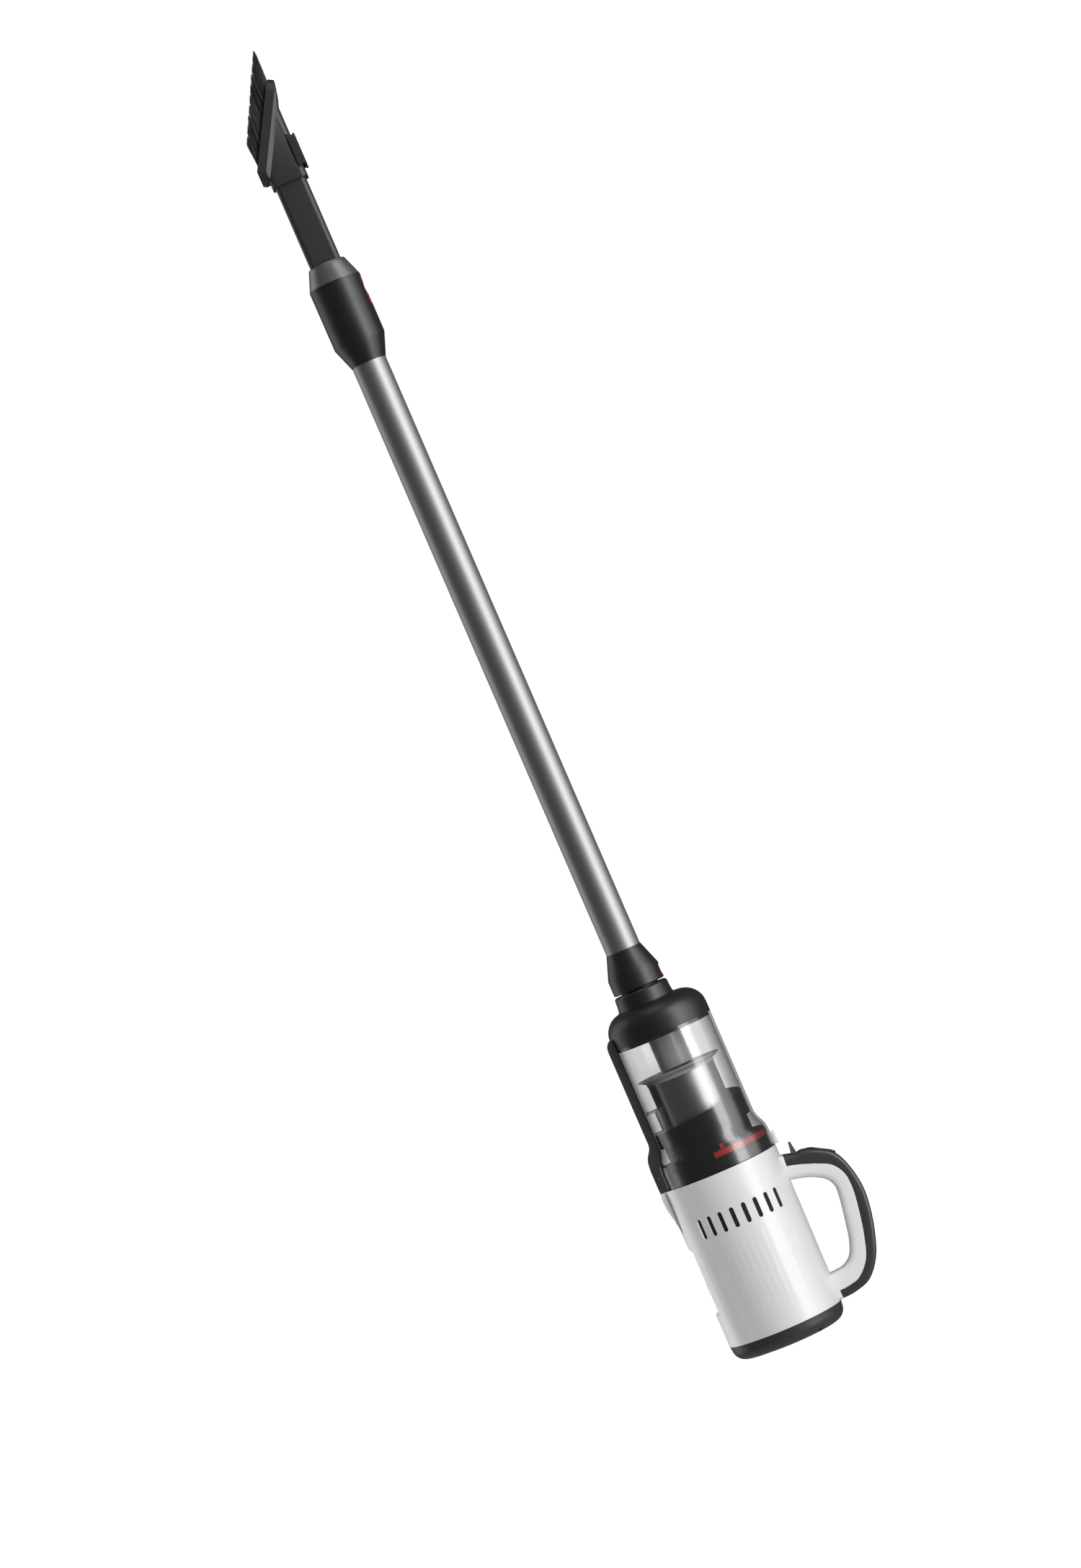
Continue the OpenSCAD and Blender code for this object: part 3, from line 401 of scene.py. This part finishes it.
def make_materials():
    return {
        "white_shell": white_plastic(),
        "dark_cap": plastic("dark_cap", (0.036, 0.036, 0.037), 0.40),
        "soft_grip": plastic("soft_grip", (0.032, 0.032, 0.033), 0.38, grain=2600,
                             depth=0.00003, ior=1.6),
        "panel_gloss": plastic("panel_gloss", (0.010, 0.010, 0.011), 0.16, depth=0.000004),
        "panel_keys": plastic("panel_keys", (0.028, 0.028, 0.03), 0.4),
        "lever_grey": plastic("lever_grey", (0.085, 0.085, 0.088), 0.34),
        "black_plastic": plastic("black_satin", (0.0085, 0.0085, 0.009), 0.40, ior=1.6),
        "collar_ring": plastic("collar_ring", (0.060, 0.060, 0.061), 0.36, ior=2.3),
        "inner_black": plastic("inner_black", (0.006, 0.006, 0.006), 0.36),
        "cyclone_grey": plastic("cyclone_grey", (0.50, 0.50, 0.503), 0.26),
        "clear_cup": clear_plastic(),
        "latch_clear": plastic("latch_smoke", (0.03, 0.03, 0.031), 0.12, coat=0.5),
        "red_plastic": plastic("red_satin", (0.50, 0.022, 0.030), 0.35, wear=1.15),
        "tube_metal": tube_metal(),
        "screen_steel": screen_steel(),
        "steel": steel(),
        "alloy": steel("alloy", (0.66, 0.66, 0.68), 0.24),
        "copper": steel("copper_wire", (0.55, 0.24, 0.11), 0.36),
        "contact_brass": steel("contact_brass", (0.75, 0.58, 0.26), 0.25),
        "board_green": plastic("board_green", (0.02, 0.12, 0.05), 0.3),
        "cell_wrap": plastic("cell_wrap", (0.04, 0.16, 0.30), 0.28),
        "seal_rubber": plastic("seal_rubber", (0.015, 0.015, 0.015), 0.6),
        "foam": plastic("open_foam", (0.010, 0.010, 0.010), 0.9, grain=900, depth=0.0004),
        "filter_paper": plastic("filter_paper", (0.70, 0.69, 0.64), 0.85, grain=1500,
                                depth=0.00005, wear=0.9),
        "tool_plastic": plastic("tool_satin", (0.026, 0.026, 0.0265), 0.42),
        "bristle": bristle_nylon(),
    }


def smooth_group():
    """Joins the split edges of a CAD mesh and shades it smooth but for its real corners."""
    group = bpy.data.node_groups.new("smooth_by_angle", "GeometryNodeTree")
    group.interface.new_socket("Geometry", in_out="INPUT", socket_type="NodeSocketGeometry")
    group.interface.new_socket("Geometry", in_out="OUTPUT", socket_type="NodeSocketGeometry")
    start = group.nodes.new("NodeGroupInput")
    end = group.nodes.new("NodeGroupOutput")
    merge = group.nodes.new("GeometryNodeMergeByDistance")
    merge.inputs["Distance"].default_value = 0.000002
    faces = group.nodes.new("GeometryNodeSetShadeSmooth")
    faces.domain = "FACE"
    faces.inputs["Shade Smooth"].default_value = True
    angle = group.nodes.new("GeometryNodeInputMeshEdgeAngle")
    sharp = group.nodes.new("FunctionNodeCompare")
    sharp.data_type = "FLOAT"
    sharp.operation = "GREATER_THAN"
    sharp.inputs["B"].default_value = math.radians(SMOOTH_ANGLE)
    edges = group.nodes.new("GeometryNodeSetShadeSmooth")
    edges.domain = "EDGE"
    edges.inputs["Shade Smooth"].default_value = False
    link = group.links.new
    link(start.outputs[0], merge.inputs["Geometry"])
    link(merge.outputs["Geometry"], faces.inputs["Geometry"])
    link(faces.outputs["Geometry"], edges.inputs["Geometry"])
    link(angle.outputs["Unsigned Angle"], sharp.inputs["A"])
    link(sharp.outputs["Result"], edges.inputs["Selection"])
    link(edges.outputs["Geometry"], end.inputs[0])
    return group


def dress_nodes(materials):
    """Gives each CAD node its finish and smooth shading. Its vertices stay as they are."""
    slots = {s["node"]: s["material_slot"] for s in frame["record"]["subparts"]}
    smooth = smooth_group()
    for name, obj in NODES.items():
        mesh = obj.data
        mesh.materials.clear()
        mesh.materials.append(materials[slots[name]])
        mesh.polygons.foreach_set("material_index", [0] * len(mesh.polygons))
        if "custom_normal" in mesh.attributes:
            mesh.attributes.remove(mesh.attributes["custom_normal"])
        obj.modifiers.new("smooth_by_angle", "NODES").node_group = smooth


# ---------------------------------------------------------------- bristles

def filament(bm, root, tip, lean, radius, sides=3, steps=3):
    """A fine tapering strand from root to tip that bows by lean."""
    up = (tip - root).normalized()
    side = up.orthogonal().normalized()
    across = up.cross(side)
    last = None
    for k in range(steps + 1):
        u = k / steps
        centre = root.lerp(tip, u) + lean * (4 * u * (1 - u))
        r = radius * (1 - 0.55 * u)
        ring = []
        for j in range(sides):
            a = math.tau * j / sides
            corner = centre + side * (r * math.cos(a)) + across * (r * math.sin(a))
            ring.append(bm.verts.new(corner))
        if last:
            for j in range(sides):
                n = (j + 1) % sides
                bm.faces.new((last[j], last[n], ring[n], ring[j])).smooth = True
        last = ring
    bm.faces.new(last)


def mouth_point(s, y):
    """Point on the brush's slanted mouth, s metres along it from its low end."""
    return MOUTH_START + MOUTH_ALONG * s + Vector((0, y, 0))


def tuft(bm, rng, s, y, wide, deep, count):
    """One bundle of strands. Their tips follow the brush's slanted top line."""
    drop = rng.uniform(-0.0008, 0.0002)
    for _ in range(count):
        r, a = math.sqrt(rng.random()), rng.uniform(0, math.tau)
        ds, dy = wide * r * math.cos(a) / 2, deep * r * math.sin(a) / 2
        root = mouth_point(s + ds, y + dy) - Vector((0, 0, BRISTLE_SUNK))
        share = min(1.0, max(0.0, (s + ds) / MOUTH_LENGTH))
        length = BRISTLE_SHORT + (BRISTLE_LONG - BRISTLE_SHORT) * share
        length += drop - abs(ds) * TUFT_CROWN - abs(rng.gauss(0, 0.0006))
        tilt = Vector((-0.0014 * (1 - share) + rng.gauss(0, 0.00035), rng.gauss(0, 0.00012), 0))
        lean = Vector((rng.gauss(0, 0.00012), rng.gauss(0, 0.00012), 0))
        tip = root + Vector((0, 0, length + BRISTLE_SUNK)) + tilt
        filament(bm, root, tip, lean, rng.uniform(0.00011, 0.00016))


def make_bristles(material):
    rng = random.Random(7)
    bm = bmesh.new()
    for k in range(TUFTS):
        s = TUFT_FIRST + k * TUFT_PITCH
        for side in (-1, 1):
            tuft(bm, rng, s, side * TUFT_Y, TUFT_PITCH * 0.98, TUFT_DEEP, TUFT_STRANDS)
    for s in END_ROWS:
        for k in range(-2, 3):
            tuft(bm, rng, s, k * END_PITCH, END_WIDE, END_DEEP, END_STRANDS)
    mesh = bpy.data.meshes.new("bristle_tufts")
    bm.to_mesh(mesh)
    bm.free()
    mesh.materials.append(material)
    obj = bpy.data.objects.new("bristle_tufts", mesh)
    bpy.context.scene.collection.objects.link(obj)
    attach(obj, "brush")
    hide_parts("brush_bristles")


# ---------------------------------------------------------------- finish

scene = bpy.context.scene
scene.view_settings.view_transform = "Standard"
make_camera()
make_world()
make_lights()
make_floor()
MATERIALS = make_materials()
dress_nodes(MATERIALS)
make_bristles(MATERIALS["bristle"])
